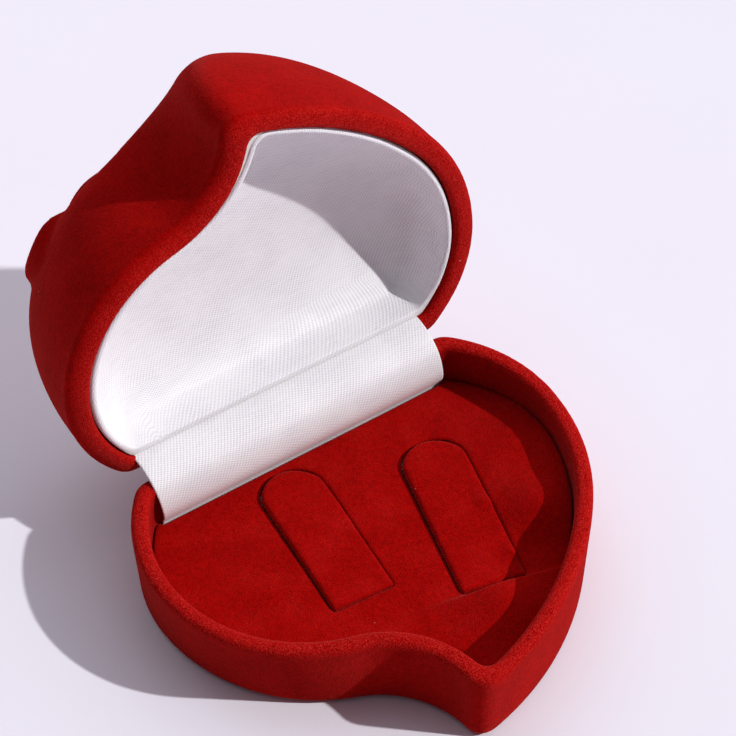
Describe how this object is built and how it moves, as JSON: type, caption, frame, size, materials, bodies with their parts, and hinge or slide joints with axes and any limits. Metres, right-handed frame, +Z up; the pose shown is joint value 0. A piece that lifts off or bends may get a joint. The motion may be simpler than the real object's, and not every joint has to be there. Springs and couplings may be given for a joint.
{
  "type": "heart-shaped ring box",
  "caption": "Flocked heart-shaped ring box with a swept tip: shallow tray, domed satin-lined lid on a pinned hinge, and ring tongues that fold up from the insert.",
  "frame": {"origin": "on the table under the middle of the tray, on its flat bottom face", "axes": "+Z up, +Y towards the hinge side, the heart's tip towards -Y, X along the hinge"},
  "size_m": [0.0666, 0.0814, 0.0675],
  "materials": {
    "flocked_shell": "moulded plastic under a short red flock pile",
    "flocked_card": "card under a short red flock pile",
    "liner_card": "pressed white card",
    "satin": "white woven satin with a soft sheen",
    "sponge": "open-cell sponge",
    "hinge_steel": "plated sheet steel"
  },
  "bodies": {
    "tray": {"base_shell": "flocked_shell", "insert_board": "flocked_card", "insert_foam": "sponge", "hinge_base_leaf": "hinge_steel", "hinge_pin": "hinge_steel", "hinge_springs": "hinge_steel", "satin_strip": "satin"},
    "lid": {"lid_shell": "flocked_shell", "lid_liner": "liner_card", "lid_satin": "satin", "hinge_lid_leaf": "hinge_steel"},
    "tongue_left": {"ring_tongue_left": "flocked_card"},
    "tongue_right": {"ring_tongue_right": "flocked_card"}
  },
  "joints": [
    {"name": "lid_hinge", "type": "hinge", "parent": "tray", "child": "lid", "pos_m": [0, 0.0277, 0.0122], "axis": [1, 0, 0], "range_deg": [0, 93], "deforming": ["satin_strip"]},
    {"name": "tongue_left_fold", "type": "hinge", "parent": "tray", "child": "tongue_left", "pos_m": [-0.0072, -0.0025, 0.0068], "axis": [0.9969, -0.0785, 0], "range_deg": [0, 40]},
    {"name": "tongue_right_fold", "type": "hinge", "parent": "tray", "child": "tongue_right", "pos_m": [0.0092, -0.0105, 0.0068], "axis": [0.9744, -0.225, 0], "range_deg": [0, 40]}
  ]
}
